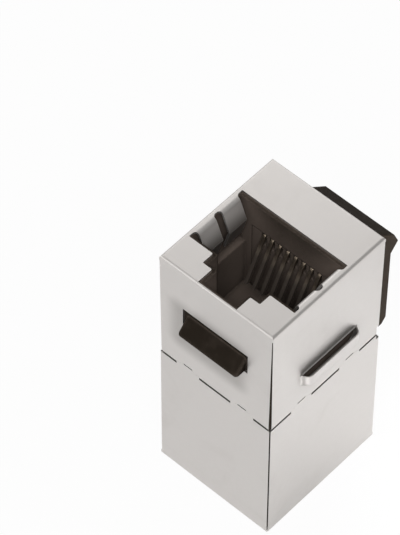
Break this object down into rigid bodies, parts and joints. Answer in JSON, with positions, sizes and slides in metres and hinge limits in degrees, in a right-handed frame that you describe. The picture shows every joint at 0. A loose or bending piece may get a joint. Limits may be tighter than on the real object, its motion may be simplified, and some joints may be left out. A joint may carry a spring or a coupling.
{
  "type": "keystone coupler",
  "caption": "Shielded in-line keystone coupler: folded metal shells round black port mouldings, with a fixed catch and a springy latch that snap into a panel opening.",
  "frame": {"origin": "centre of the rear port face, on which the coupler stands", "axes": "+Z along the plug direction towards the front port, +Y towards the latch, X across the width"},
  "size_m": [0.0162, 0.023, 0.0334],
  "materials": {
    "shield": "satin nickel plate on folded sheet",
    "moulding": "warm black, fine moulded grain",
    "contact": "gold plated spring wire",
    "board": "green laminate"
  },
  "bodies": {
    "root": {"front_shield": "shield", "rear_shield": "shield", "front_housing": "moulding", "rear_housing": "moulding", "circuit_board": "board", "front_contact_insert": "moulding", "front_contact_1": "contact", "front_contact_2": "contact", "front_contact_3": "contact", "front_contact_4": "contact", "front_contact_5": "contact", "front_contact_6": "contact", "front_contact_7": "contact", "front_contact_8": "contact", "rear_contact_insert": "moulding", "rear_contact_1": "contact", "rear_contact_2": "contact", "rear_contact_3": "contact", "rear_contact_4": "contact", "rear_contact_5": "contact", "rear_contact_6": "contact", "rear_contact_7": "contact", "rear_contact_8": "contact"}
  },
  "joints": []
}
